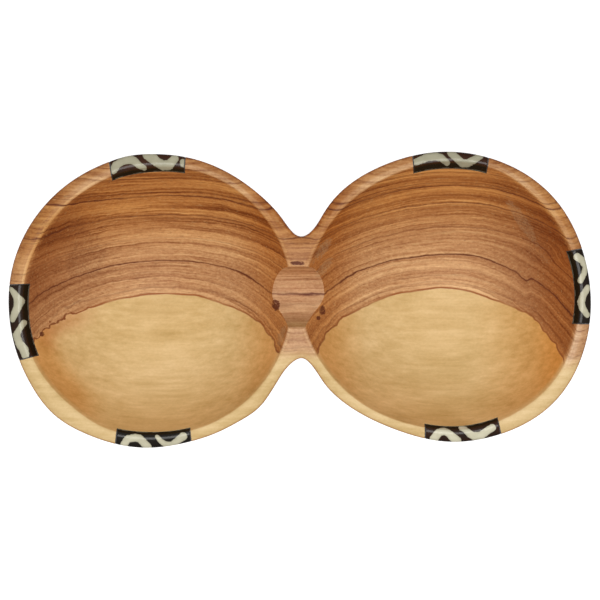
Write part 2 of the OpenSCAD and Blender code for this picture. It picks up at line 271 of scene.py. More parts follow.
class WoodLook(bpy.types.PropertyGroup):
    """Colours of the oiled wood."""

    heart: colour("Heartwood", "Heartwood near the sapwood", (0.52, 0.27, 0.12))
    old_heart: colour("Old heartwood", "Heartwood toward the back of the dish", (0.395, 0.155, 0.043))
    sap: colour("Sapwood", "Sapwood along the front", (0.655, 0.45, 0.2))
    # Also paints shade near the neck and on the left end's wall
    soaked_and_shaded_sap: colour("Soaked sapwood", "How the oil deepens the sapwood", (0.97, 0.76, 0.55))
    scuff: colour("Scuff", "Wood that is scuffed pale", (0.40, 0.245, 0.125))
    edge: colour("Heartwood edge", "Line between the heartwood and the sapwood", (0.29, 0.088, 0.027))
    late: colour("Growth line", "Dark growth lines, pores and knots", (0.11, 0.026, 0.012))
    # On the outer walls this also paints shade
    oil: colour("Oil", "How the oil deepens the heartwood at the two ends", (0.6, 0.45, 0.37))


class BoneLook(bpy.types.PropertyGroup):
    """Colours of the dyed bone and its glue."""

    pale: colour("Bare bone", "Strokes that the dye was kept off", (0.53, 0.495, 0.355))
    black: colour("Black dye", "Dye at its darkest", (0.007, 0.0045, 0.0022))
    brown: colour("Brown dye", "Dye where it is thin", (0.05, 0.014, 0.003))
    glue: colour("Glue", "Dark glue round the tiles", (0.012, 0.008, 0.006))


def direction(a):
    """Unit vectors at bearings a, in degrees."""
    a = np.radians(a)
    return np.stack([np.cos(a), np.sin(a)], axis=-1)


def bearing(v):
    """Bearings of plan vectors, in degrees."""
    return np.degrees(np.arctan2(v[..., 1], v[..., 0]))


def swell(swells, a):
    """Sum of the carved swells at bearings a, in degrees."""
    return sum(size * MM * np.exp(-((((a - at + 180) % 360 - 180) / spread) ** 2))
               for at, size, spread in swells)


def softer_max(a, b, blend):
    """The larger of two heights, with the edge between them rounded over blend."""
    overlap = np.maximum(blend - np.abs(a - b), 0) / np.maximum(blend, 1e-9)
    return np.maximum(a, b) + overlap ** 2 * blend / 4


def waves(points, scale, seed):
    """A slow random wave, about -1 to 1, at each point."""
    offset = Vector((seed, 2 * seed, 3 * seed))
    return np.array([noise.noise(Vector(p) * scale + offset) for p in points.reshape(-1, 3)]
                    ).reshape(points.shape[:-1])


class Carving:
    """The dish's carved surfaces, worked out from its sizes."""

    def __init__(self, sizes):
        self.sizes = s = sizes
        self.rim_r = {LEFT: s.left_r, RIGHT: s.right_r}
        self.hollow_r = {LEFT: s.left_r - s.left_rim, RIGHT: s.right_r - s.right_rim}
        self.depth = s.height - s.floor
        self.ball_r = {side: (r * r + self.depth ** 2) / (2 * self.depth)
                       for side, r in self.hollow_r.items()}
        self.spacing = sum(self.hollow_r.values()) + 2 * s.hollow_shift + s.web
        self.mean_r = (s.left_r + s.right_r) / 2
        self.outer_slope = math.atan(2 * s.outer_fall / s.outer_fall_width)
        self.inner_slope = math.atan(2 * s.inner_fall / s.inner_fall_width)
        self._fit_wall()
        self.waist_bulge = self._waist_bulges()
        self.middle = np.zeros(2)
        widest = self.outline(s.height - s.wall_drop, self.mean_r)
        self.middle = -(widest.max(axis=0) + widest.min(axis=0)) / 2
        self.levels = self._levels()
        self.land_edge = self.outline(*self.levels[-1])

    def _fit_wall(self):
        """Middle of the arc that the outer wall follows."""
        s = self.sizes
        rise, run = s.height - s.wall_drop, self.mean_r - s.base_r
        chord = math.hypot(rise, run)
        reach = math.sqrt(s.wall_arc ** 2 - (chord / 2) ** 2)
        self.arc_r = (self.mean_r + s.base_r) / 2 - reach * rise / chord
        self.arc_z = rise / 2 + reach * run / chord

    def wall_r(self, z):
        """Radius of a bowl's outer wall at height z."""
        return self.arc_r + math.sqrt(self.sizes.wall_arc ** 2 - (z - self.arc_z) ** 2)

    def bulge(self, side, a):
        """How far a bowl's rim stands outside the mean circle at bearing a."""
        return self.rim_r[side] - self.mean_r + swell(RIM_SWELLS[side], a)

    def placed(self, points):
        """Points of the evenly laid out dish, moved to their place in the frame."""
        shift = np.stack([np.zeros(len(points)), self.sizes.stagger * points[:, 0] / self.spacing], axis=-1)
        return points + shift + self.middle

    def waist_round(self, w, r):
        """Radius of the round that joins two bowls of radius r at a waist w from the middle line."""
        return (w * w + (self.spacing / 2) ** 2 - r * r) / (2 * (r - w))

    def _waist_bulges(self):
        """Mean swell of the two bowls beside the waist at the back and at the front."""
        back, front = (math.degrees(math.atan2(w + self.waist_round(w, self.mean_r), self.spacing / 2))
                       for w in (self.sizes.neck_back, self.sizes.neck_front))
        return ((self.bulge(LEFT, back) + self.bulge(RIGHT, 180 - back)) / 2,
                (self.bulge(LEFT, -front) + self.bulge(RIGHT, 180 + front)) / 2)

    def outline(self, z, r, inset=0.0):
        """The figure-of-eight outline at height z, for bowls of radius r and a waist drawn in by inset."""
        s, half, fade = self.sizes, self.spacing / 2, z / self.sizes.height
        narrow = math.sqrt(1 - ((s.height - z) / (s.height + s.keel_drop)) ** 2)
        waists = [w * narrow - inset for w in (s.neck_back, s.neck_front)]
        rounds = [self.waist_round(w, r + fade * m) for w, m in zip(waists, self.waist_bulge)]
        back, front = (math.degrees(math.atan2(w + f, half) + s.waist_reach) for w, f in zip(waists, rounds))
        share = np.linspace(0, 1, NECK_STEPS // 2, endpoint=False)[:, None]

        def bowl(side, a):
            """Points on one bowl's side of the outline, at bearings a."""
            return np.array([side * half, 0]) + (r + fade * self.bulge(side, a))[:, None] * direction(a)

        def curve(a, b, c, d):
            """A curve from a to d that leaves toward b and arrives from c."""
            return ((1 - share) ** 3 * a + 3 * share * (1 - share) ** 2 * b
                    + 3 * share ** 2 * (1 - share) * c + share ** 3 * d)

        def neck(way, w, pinch, from_side, from_a, to_side, to_a):
            """The waist at the back or the front, from one bowl to the other."""
            middle, along = np.array([s.waist_shift, way * w]), np.array([-way, 0.0])
            start, ahead = bowl(from_side, from_a + np.array([0.0, HEADING_STEP]))
            behind, end = bowl(to_side, to_a + np.array([-HEADING_STEP, 0.0]))
            heading, leaving = ((v - u) / np.linalg.norm(v - u) for u, v in ((start, ahead), (behind, end)))
            first, last = np.linalg.norm(middle - start) / 3, np.linalg.norm(end - middle) / 3
            long, short = 1 + fade * pinch, 1 - fade * pinch
            return np.vstack([
                curve(start, start + heading * first * long, middle - along * first * short, middle),
                curve(middle, middle + along * last * short, end - leaving * last * long, end)])

        return self.placed(np.vstack([
            bowl(LEFT, np.linspace(back, 360 - front, ARC_STEPS, endpoint=False)),
            neck(-1, waists[1], s.front_pinch, LEFT, 360 - front, RIGHT, 180 + front),
            bowl(RIGHT, np.linspace(180 + front, 540 - back, ARC_STEPS, endpoint=False)),
            neck(1, waists[0], s.back_pinch, RIGHT, 540 - back, LEFT, back)]))

    def _levels(self):
        """Height, radius and waist inset of the outside's rings, from the base to the rim's land."""
        s = self.sizes
        top = s.height - s.outer_fall - s.outer_round * math.cos(self.outer_slope)
        lean = math.atan((self.arc_z - top) / (self.wall_r(top) - self.arc_r))
        wall_top = top - s.outer_round * math.sin(lean)
        flare = self.mean_r - self.wall_r(wall_top) - s.outer_round * (1 - math.cos(lean))
        levels = [(drop * s.base_round, self.wall_r(drop * s.base_round) - inset * s.base_round, 0.0)
                  for drop, inset in BASE_EDGE]
        for z in np.linspace(s.base_round, wall_top, WALL_STEPS + 1)[1:]:
            levels.append((z, self.wall_r(z) + flare * z / wall_top, 0.0))
        for a in np.linspace(-lean, math.pi / 2 - self.outer_slope, ROUND_STEPS + 1)[1:]:
            inset = s.outer_round * (1 - math.cos(a))
            levels.append((top + s.outer_round * math.sin(a), self.mean_r - inset, inset))
        return levels

    def hollow_middle(self, side):
        """Plan point of a hollow's lowest point."""
        s = self.sizes
        return self.middle + side * np.array([self.spacing / 2 - s.hollow_shift, s.stagger / 2])

    def hollow_r_at(self, side, depth):
        """Radius of a hollow at a depth below the rim."""
        ball = self.ball_r[side]
        return math.sqrt(ball ** 2 - (ball - self.depth + depth) ** 2)

    def hollow_edge(self, side):
        """Radius and height along the rounded inner edge, from the hollow's wall to the rim's land."""
        s, ball = self.sizes, self.ball_r[side]
        drop = s.inner_fall - s.inner_round * (1 - math.cos(self.inner_slope))
        r = self.hollow_r_at(side, drop)
        slope = math.asin(r / ball)
        middle = (r + s.inner_round * math.tan(slope / 2), s.height - drop - s.inner_round)
        angles = np.linspace(slope, self.inner_slope, ROUND_STEPS + 1)
        return np.stack([middle[0] - s.inner_round * np.sin(angles),
                         middle[1] + s.inner_round * np.cos(angles)], axis=-1)

    def hollow_wall(self, side, angles):
        """Radius and height on the hollow's ball, at angles up from its lowest point."""
        ball = self.ball_r[side]
        return np.stack([ball * np.sin(angles), self.sizes.floor + ball * (1 - np.cos(angles))], axis=-1)

    def hollow_swell(self, side, z, a):
        """How far a hollow is carved outside its ball, at height z and bearings a."""
        return swell(HOLLOW_SWELLS[side], a) * (z - self.sizes.floor) / self.depth

    def rim_top(self, points):
        """Height of the rim's crowned land at plan points."""
        s = self.sizes
        a, b = self.land_edge, np.roll(self.land_edge, -1, axis=0)
        run = b - a
        share = np.einsum("psk,sk->ps", points[:, None] - a, run) / (run * run).sum(axis=-1)
        nearest = a + np.clip(share, 0, 1)[..., None] * run
        gap = np.linalg.norm(points[:, None] - nearest, axis=-1).min(axis=1)
        fall = s.outer_fall * np.clip(1 - gap / s.outer_fall_width, 0, 1) ** 2
        for side in (LEFT, RIGHT):
            offset = points - self.hollow_middle(side)
            r, z = self.hollow_edge(side)[-1]
            gap = np.linalg.norm(offset, axis=-1) - r - self.hollow_swell(side, z, bearing(offset))
            fall = fall + s.inner_fall * np.clip(1 - gap / s.inner_fall_width, 0, 1) ** 2
        return s.height - fall

    def relieve_neck(self, points):
        """Lifts the points of the underside that lie under the arch of the neck."""
        s = self.sizes
        span = self.spacing / 2 - s.base_r
        r = (span ** 2 + s.arch_rise ** 2) / (2 * s.arch_rise)
        x = points[:, 0] - self.middle[0]
        arch = s.arch_rise - r + np.sqrt(np.maximum(r * r - x * x, 0))
        points[:, 2] = softer_max(points[:, 2], arch, ARCH_BLEND)


def new_object(name, points, faces):
    """A mesh object in the scene."""
    mesh = bpy.data.meshes.new(name)
    mesh.from_pydata([tuple(p) for p in points], [], faces)
    mesh.validate()
    obj = bpy.data.objects.new(name, mesh)
    bpy.context.scene.collection.objects.link(obj)
    return obj


def band(first, second, closed=True):
    """Quads between two rows of point numbers."""
    n = len(first)
    return [(first[i], first[(i + 1) % n], second[(i + 1) % n], second[i])
            for i in range(n if closed else n - 1)]


def finish_mesh(obj, sharp_degrees=SHARP_EDGE, weld=0.0):
    """Welds the seams, turns the faces outward and shades the rounded edges smooth."""
    bm = bmesh.new()
    bm.from_mesh(obj.data)
    if weld:
        bmesh.ops.remove_doubles(bm, verts=bm.verts, dist=weld)
    bmesh.ops.recalc_face_normals(bm, faces=bm.faces)
    bm.to_mesh(obj.data)
    bm.free()
    obj.data.shade_smooth()
    obj.data.set_sharp_from_angle(angle=math.radians(sharp_degrees))


def faded(distance):
    """How far the tool marks show, at distances from where they start."""
    return np.clip(distance / WAVE_FADE, 0, 1)


def carve_bowl(carving):
    """The wood before the channel and the tiles' notches are cut: both hollows, the rim, the outside and the
    arch.
    """
    s = carving.sizes
    rings = [np.column_stack([carving.outline(*level), np.full(len(carving.land_edge), level[0])])
             for level in carving.levels]
    rings[-1][:, 2] = carving.rim_top(rings[-1][:, :2])
    n, top = len(rings[0]), rings[-1]
    points = np.vstack(rings)
    faces = []
    for k in range(len(rings) - 1):
        faces += band(range(k * n, (k + 1) * n), range((k + 1) * n, (k + 2) * n))

    # The base, in strips from back to front, of which the first and the last are triangles
    far_left = ARC_STEPS // 2
    for k in range(n // 2):
        back = [(far_left - j) % n for j in (k, k + 1)]
        front = [far_left + j for j in (k + 1, k)]
        faces.append(tuple(dict.fromkeys(back + front)))

    mark = s.tool_marks * waves(points, OUTSIDE_WAVES, OUTSIDE_SEED) * np.sign(points[:, 1])
    points[:, 1] += mark * faded(points[:, 2] - BASE_PLAIN) * faded(s.height - OUTSIDE_PLAIN - points[:, 2])
    carving.relieve_neck(points)

    # Each bowl's hollow and its share of the rim, in rings round the hollow's middle
    back_mid, front_mid = n - NECK_STEPS // 2, ARC_STEPS + NECK_STEPS // 2
    y = np.linspace(top[front_mid, 1], top[back_mid, 1], SEAM_STEPS + 1)[1:-1]
    seam = np.column_stack([np.full(len(y), carving.middle[0]), y])
    for side in (LEFT, RIGHT):
        if side == LEFT:
            rim = np.vstack([top[back_mid:, :2], top[:front_mid + 1, :2]])
        else:
            rim = top[front_mid:back_mid + 1, :2]
        boundary = np.vstack([rim, seam[::-side]])
        grid = carve_hollow(carving, side, boundary)
        first, m = len(points), len(boundary)
        points = np.vstack([points, grid])
        faces += [(first, first + 1 + i, first + 1 + (i + 1) % m) for i in range(m)]
        for k in range((len(grid) - 1) // m - 1):
            a = first + 1 + k * m
            faces += band(range(a, a + m), range(a + m, a + 2 * m))

    bowl = new_object("twin_bowl_wood", points, faces)
    finish_mesh(bowl, SHARP_BLANK, weld=WELD_REACH)
    return bowl


def carve_hollow(carving, side, boundary):
    """Points of one hollow and the land round it, from its middle out to the boundary."""
    s, m = carving.sizes, carving.hollow_middle(side)
    edge = carving.hollow_edge(side)
    start = math.asin(edge[0, 0] / carving.ball_r[side])
    shares = np.concatenate([np.linspace(0, FLOOR_SHARE, FLOOR_STEPS + 1)[1:],
                             np.linspace(FLOOR_SHARE, 1, HOLLOW_STEPS + 1)[1:-1]])
    profile = np.vstack([carving.hollow_wall(side, start * shares), edge])
    a = bearing(boundary - m)
    rings = []
    for r, z in profile:
        reach = r + carving.hollow_swell(side, z, a)
        rings.append(np.column_stack([m + reach[:, None] * direction(a), np.full(len(a), z)]))
    lip = rings[-1][:, :2]
    for share in np.linspace(0, 1, LAND_STEPS + 1)[1:]:
        land = lip + (boundary - lip) * share
        rings.append(np.column_stack([land, carving.rim_top(land)]))
    grid = np.vstack([[[*m, s.floor]], *rings])
    mark = s.tool_marks * waves(grid, HOLLOW_WAVES, HOLLOW_SEED + side)
    grid[:, 2] += mark * faded(s.height - HOLLOW_PLAIN - grid[:, 2])
    return grid


class TilePlace:
    """Where one tile sits in the rim, and the rim's surfaces round it."""

    def __init__(self, carving, side, tile_bearing):
        self.carving, self.side = carving, side
        self.out = direction(tile_bearing)
        self.along = np.array([-self.out[1], self.out[0]])
        self.middle = carving.middle + side * np.array([carving.spacing / 2, carving.sizes.stagger / 2])
        self.mid_r = carving.rim_r[side] - TILE_MIDDLE

    def plan(self, along, out):
        """Plan points from distances along and out from the bowl's middle, with the tile's ends flared."""
        flare = 1 + self.carving.sizes.tile_flare * (out / self.mid_r - 1)
        return self.middle + out[..., None] * self.out + (along * flare)[..., None] * self.along

    def inner(self, along, r, z):
        """Distance out to the hollow's surface of radius r at height z, at each distance along."""
        c, m = self.carving, self.carving.hollow_middle(self.side)
        out = np.full(np.shape(along), r)
        for _ in range(FIT_ROUNDS):
            offset = self.plan(along, out) - m
            out = out + r + c.hollow_swell(self.side, z, bearing(offset)) - np.linalg.norm(offset, axis=-1)
        return out

    def outer(self, along, r, z):
        """Distance out to the outside of radius r at height z, at each distance along."""
        c = self.carving
        out = np.full(np.shape(along), r)
        for _ in range(FIT_ROUNDS):
            offset = self.plan(along, out) - self.middle
            offset[..., 1] -= c.sizes.stagger * offset[..., 0] / c.spacing
            reach = r + c.bulge(self.side, bearing(offset)) * z / c.sizes.height
            out = out + reach - np.linalg.norm(offset, axis=-1)
        return out

    def section(self, along, low):
        """Loops of points round the rim from height low up, one at each distance along."""
        c = self.carving
        edge = c.hollow_edge(self.side)
        start = math.asin(edge[0, 0] / c.ball_r[self.side])
        foot = math.acos(1 - (low - c.sizes.floor) / c.ball_r[self.side])
        wall = c.hollow_wall(self.side, np.linspace(foot, start, TILE_WALL_STEPS + 1)[:-1])
        columns = []
        for r, z in np.vstack([wall, edge]):
            columns.append((self.inner(along, r, z), np.full(len(along), z)))
        rim = [level for level in c.levels if level[0] > low + FOOT_STEP]
        rim = [(low, np.interp(low, *np.array(c.levels)[:, :2].T), 0.0), *rim]
        shell = [(self.outer(along, r, z), np.full(len(along), z)) for z, r, _ in reversed(rim)]
        shell[0] = (shell[0][0], c.rim_top(self.plan(along, shell[0][0])))
        lip, brim = columns[-1][0], shell[0][0]
        for share in np.linspace(0, 1, TILE_LAND_STEPS + 1)[1:-1]:
            out = lip + (brim - lip) * share
            columns.append((out, c.rim_top(self.plan(along, out))))
        columns += shell
        plan = np.stack([self.plan(along, out) for out, _ in columns], axis=1)
        height = np.stack([z for _, z in columns], axis=1)
        return np.concatenate([plan, height[..., None]], axis=-1)


def sweep(loops):
    """Points and faces of a closed bar through loops of points."""
    count, m = loops.shape[:2]
    faces = []
    for k in range(count - 1):
        faces += band(range(k * m, (k + 1) * m), range((k + 1) * m, (k + 2) * m))
    faces += [tuple(range(m)), tuple(range((count - 1) * m, count * m))]
    return loops.reshape(-1, 3), faces


def stroke_distance(points, stroke):
    """Distance from tile points to the edge of one stroke, less than nothing inside it."""
    stroke = np.array(stroke)
    best = np.full(len(points), np.inf)
    for a, b in zip(stroke[:-1], stroke[1:]):
        run = b[:2] - a[:2]
        share = np.clip((points - a[:2]) @ run / (run @ run), 0, 1)
        gap = np.linalg.norm(points - a[:2] - share[:, None] * run, axis=-1)
        best = np.minimum(best, gap - (a[2] + share * (b[2] - a[2])))
    return best


def make_tile(carving, name):
    """One bone tile, flush with the rim, with its distance to the pale strokes at each point."""
    side, tile_bearing, depth, brown, bright, strokes = TILES[name]
    s, place = carving.sizes, TilePlace(carving, side, tile_bearing)
    half = s.tile_length / 2
    eased = half - TILE_EASE
    along = np.concatenate([[-half], np.linspace(-eased, eased, TILE_STATIONS), [half]])
    loops = place.section(along, s.height - depth * MM)
    for end in (0, -1):
        middle = loops[end].mean(axis=0)
        reach = np.linalg.norm(loops[end] - middle, axis=-1, keepdims=True)
        loops[end] -= (loops[end] - middle) / reach * TILE_EASE
    points, faces = sweep(loops)
    tile = new_object(f"tile_{name}", points, faces)
    finish_mesh(tile, SHARP_BONE)
    offset = points[:, :2] - place.middle
    flat = np.stack([offset @ place.along, offset @ place.out - carving.rim_r[side]], axis=-1) / MM
    resist = np.min([stroke_distance(flat, stroke) for stroke in strokes], axis=0)
    foot = (points[:, 2] - s.height) / MM + depth
    for key, values in zip(TILE_ATTRIBUTES, np.broadcast_arrays(resist, brown, bright, foot)):
        attribute = tile.data.attributes.new(key, "FLOAT", "POINT")
        attribute.data.foreach_set("value", values.astype(np.float32))
    return tile


def make_glue(carving, name):
    """The glue under one tile and at its two ends, a little below the surface."""
    side, tile_bearing, depth, *_ = TILES[name]
    s, edge, levels = carving.sizes, carving.hollow_edge(side), np.array(carving.levels)
    place = TilePlace(carving, side, tile_bearing)
    half, gap, low = s.tile_length / 2, s.glue_gap, s.height - depth * MM
    high = s.height - max(s.outer_fall, s.inner_fall) - GLUE_SUNK
    rows = []
    for spread, bed in ((0.0, low), (gap, low - gap)):
        rise = np.linspace(high, bed, GLUE_END_POINTS)
        run = np.linspace(-half - spread, half + spread, GLUE_BED_POINTS)
        path = [*((run[0], z) for z in rise), *((a, bed) for a in run[1:-1]),
                *((run[-1], z) for z in rise[::-1])]
        for along, z in path:
            along = np.array([along])
            if z < s.height - EDGE_DEPTH:
                up = np.arccos(1 - (z - s.floor) / carving.ball_r[side])
                inner = place.inner(along, carving.hollow_wall(side, up)[0], z)
            else:
                inner = place.inner(along, np.interp(z, edge[:, 1], edge[:, 0]), z)
            outer = place.outer(along, np.interp(z, levels[:, 0], levels[:, 1]), z)
            ends = place.plan(along, inner + GLUE_SUNK)[0], place.plan(along, outer - GLUE_SUNK)[0]
            rows.append([[*end, z] for end in ends])
    rows = np.array(rows).reshape(2, -1, 2, 3)
    loops = np.stack([rows[0, :, 0], rows[0, :, 1], rows[1, :, 1], rows[1, :, 0]], axis=1)
    points, faces = sweep(loops)
    glue = new_object(f"glue_line_{name}", points, faces)
    finish_mesh(glue)
    return glue


def notch_cutter(carving):
    """The six spaces that the tiles and their glue are let into, as one cutting object."""
    s = carving.sizes
    points, faces = [], []
    for side, tile_bearing, depth, *_ in TILES.values():
        place = TilePlace(carving, side, tile_bearing)
        low = s.height - depth * MM - s.glue_gap
        half = s.tile_length / 2 + s.glue_gap
        near = carving.hollow_r_at(side, depth * MM + s.glue_gap) - s.tile_length / 2
        far = carving.rim_r[side] + OVERRUN
        first = len(points)
        for z in (low, s.height + OVERRUN):
            for along, out in ((-half, near), (half, near), (half, far), (-half, far)):
                points.append([*place.plan(np.array(along), np.array(out)), z])
        faces += [tuple(first + i for i in face) for face in (
            (0, 1, 2, 3), (7, 6, 5, 4), (0, 4, 5, 1), (1, 5, 6, 2), (2, 6, 7, 3), (3, 7, 4, 0))]
    cutter = new_object("notch_cutter", points, faces)
    finish_mesh(cutter)
    return cutter


def channel_cutter(carving):
    """The bar that cuts the channel between the hollows: round behind, with a flat slope in front."""
    s, high = carving.sizes, carving.sizes.height + OVERRUN
    y = np.linspace(-s.channel_front, s.channel_back + s.channel_r, CHANNEL_POINTS)
    offset = np.maximum(y - s.channel_back, 0)
    bed = -softer_max(-np.sqrt(np.maximum(s.channel_r ** 2 - offset ** 2, 0)),
                      -(y + s.channel_front) * math.tan(s.channel_slope), s.channel_blend)
    profile = np.column_stack([y, s.height - bed])
    lip = y[0] - OVERRUN / math.tan(s.channel_slope)
    profile = np.vstack([[lip, high], profile, [y[-1], high]])
    ends = [carving.hollow_middle(side)[0] - side * (carving.hollow_r_at(side, s.channel_r) - OVERRUN)
            for side in (LEFT, RIGHT)]
    loops = np.stack([np.column_stack([np.full(len(profile), x), profile])
                      for x in np.linspace(*ends, CHANNEL_STATIONS)])
    cutter = new_object("channel_cutter", *sweep(loops))
    finish_mesh(cutter)
    return cutter


def cut_away(obj, cutter):
    """Cuts one object out of another for good, and deletes the cutter."""
    cut = obj.modifiers.new("Cut", "BOOLEAN")
    cut.operation, cut.solver, cut.object = "DIFFERENCE", "EXACT", cutter
    evaluated = obj.evaluated_get(bpy.context.evaluated_depsgraph_get())
    mesh = bpy.data.meshes.new_from_object(evaluated)
    obj.modifiers.clear()
    blank, obj.data = obj.data, mesh
    mesh.name = obj.name
    bpy.data.meshes.remove(blank)
    bpy.data.meshes.remove(cutter.data)
    obj.data.shade_smooth()
    obj.data.set_sharp_from_angle(angle=math.radians(SHARP_WOOD))


def math_method(operation):
    """A method that adds a math node, with its value as the node's first input."""
    return lambda value, *others: value.nodes.math(operation, value, *others)


class Value:
    """A number or a colour in a node tree, which plain arithmetic builds on."""

    __add__ = __radd__ = math_method("ADD")
    __mul__ = __rmul__ = math_method("MULTIPLY")
    __sub__ = math_method("SUBTRACT")
    __truediv__ = math_method("DIVIDE")
    __pow__ = math_method("POWER")
    __abs__ = math_method("ABSOLUTE")
    at_least = math_method("MAXIMUM")
    at_most = math_method("MINIMUM")

    def __init__(self, nodes, socket):
        self.nodes, self.socket = nodes, socket

    def __rsub__(self, other):
        return self.nodes.math("SUBTRACT", other, self)

    def ramp(self, low, high, to_low=0.0, to_high=1.0):
        """A smooth step from to_low, where this is at low, to to_high, where it is at high."""
        return self.nodes.value("MapRange", (self, low, high, to_low, to_high),
                                interpolation_type="SMOOTHSTEP")


class Nodes:
    """Short calls that build one node tree."""

    def __init__(self, tree):
        self.tree = tree

    def put(self, value, socket):
        """Links a socket to a value of the tree, or sets it to a constant."""
        if isinstance(value, Value):
            self.tree.links.new(value.socket, socket)
        else:
            socket.default_value = value

    def node(self, kind, inputs=(), **settings):
        """A new shader node, with its inputs given in order or by number or name."""
        node = self.tree.nodes.new(f"ShaderNode{kind}")
        for key, value in settings.items():
            setattr(node, key, value)
        for key, value in (inputs.items() if isinstance(inputs, dict) else enumerate(inputs)):
            self.put(value, node.inputs[key])
        return node

    def value(self, kind, inputs=(), output=0, **settings):
        """One output of a new shader node."""
        return Value(self, self.node(kind, inputs, **settings).outputs[output])

    def parts(self, vector):
        """The X, Y and Z of a vector."""
        return [Value(self, socket) for socket in self.node("SeparateXYZ", (vector,)).outputs]

    def math(self, operation, *values, **settings):
        """The result of one math node."""
        return self.value("Math", values, operation=operation, **settings)

    def mix(self, share, a, b, blend="MIX"):
        """Colour b over colour a, as far as share says."""
        a, b = (c if isinstance(c, Value) else (*c, 1.0) for c in (a, b))
        return self.value("Mix", {0: share, 6: a, 7: b}, 2, data_type="RGBA", blend_type=blend)

    def mix_value(self, share, a, b):
        """Number b over number a, as far as share says."""
        return self.value("Mix", {0: share, 2: a, 3: b})

    def tint(self, base, share, tint):
        """A colour multiplied by a tint, as far as share says."""
        return self.mix(share, base, self.mix(1.0, base, tint, "MULTIPLY"))

    def shade(self, base, tone, green, blue):
        """A colour times a tone, with its green and blue falling off faster than its red."""
        tone = tone.at_least(DARKEST_TONE)
        tint = self.value("CombineColor", (tone, tone ** green, tone ** blue))
        return self.mix(1.0, base, tint, "MULTIPLY")

    def noise(self, x, y, z, scale=1.0, detail=2.0, roughness=0.5):
        """Noise about 0, from -0.5 to 0.5."""
        place = self.value("CombineXYZ", (x, y, z))
        return self.value("TexNoise", {"Vector": place, "Scale": scale, "Detail": detail,
                                       "Roughness": roughness}) - 0.5

    def spot(self, x, y, place, size, ragged):
        """1 inside a small ragged ellipse seen from above, and 0 outside it."""
        across, up = (x - place[0]) / size[0], (y - place[1]) / size[1]
        reach = self.math("SQRT", across * across + up * up)
        return (reach + ragged * 1.6).ramp(1.1, 0.75)

    def seen_rays(self):
        """1 for rays from the camera, in reflections and through glass."""
        path = self.node("LightPath").outputs
        seen = Value(self, path["Is Camera Ray"])
        for name in ("Is Glossy Ray", "Is Transmission Ray"):
            seen = seen.at_least(Value(self, path[name]))
        return seen


class Finish(Nodes):
    """The nodes of a material with one shader, and the place that they colour, in millimetres."""

    def __init__(self, name):
        self.material = bpy.data.materials.get(name) or bpy.data.materials.new(name)
        self.material.use_nodes = True
        super().__init__(self.material.node_tree)
        self.tree.nodes.clear()
        self.shader = self.node("BsdfPrincipled")
        self.put(Value(self, self.shader.outputs[0]), self.node("OutputMaterial").inputs[0])
        place = self.value("TexCoord", output="Object")
        self.x, self.y, self.z = self.parts(
            self.value("VectorMath", {0: place, "Scale": 1 / MM}, operation="SCALE"))

    def streaks(self, along, across, **settings):
        """Noise with its own fineness along the grain, which runs along X, and across it."""
        return self.noise(self.x * along, self.y * across, self.z * across, **settings)

    def bump(self, height, strength, distance):
        """Shades the surface as if it had a fine relief."""
        bump = self.value("Bump", {"Strength": strength, "Distance": distance, "Height": height})
        self.put(bump, self.shader.inputs["Normal"])

    def set(self, **values):
        """Sets or links the shader's sockets, whose names have spaces for underscores."""
        for key, value in values.items():
            self.put(value, self.shader.inputs[key.replace("_", " ")])


def growth_line_group():
    """A node group that darkens one growth line: full on the line and nothing a width away."""
    group = bpy.data.node_groups.get("growth_line")
    if group:
        return group
    group = bpy.data.node_groups.new("growth_line", "ShaderNodeTree")
    for name in ("Ring", "Place", "Width", "Strength"):
        group.interface.new_socket(name, in_out="INPUT", socket_type="NodeSocketFloat")
    group.interface.new_socket("Dark", in_out="OUTPUT", socket_type="NodeSocketFloat")
    nodes = Nodes(group)
    given = group.nodes.new("NodeGroupInput").outputs
    ring, place, width, strength = (Value(nodes, given[i]) for i in range(4))
    near = 1.0 - (abs(ring - place) / width).at_most(1.0)
    nodes.put(near ** 1.6 * strength, group.nodes.new("NodeGroupOutput").inputs[0])
    return group


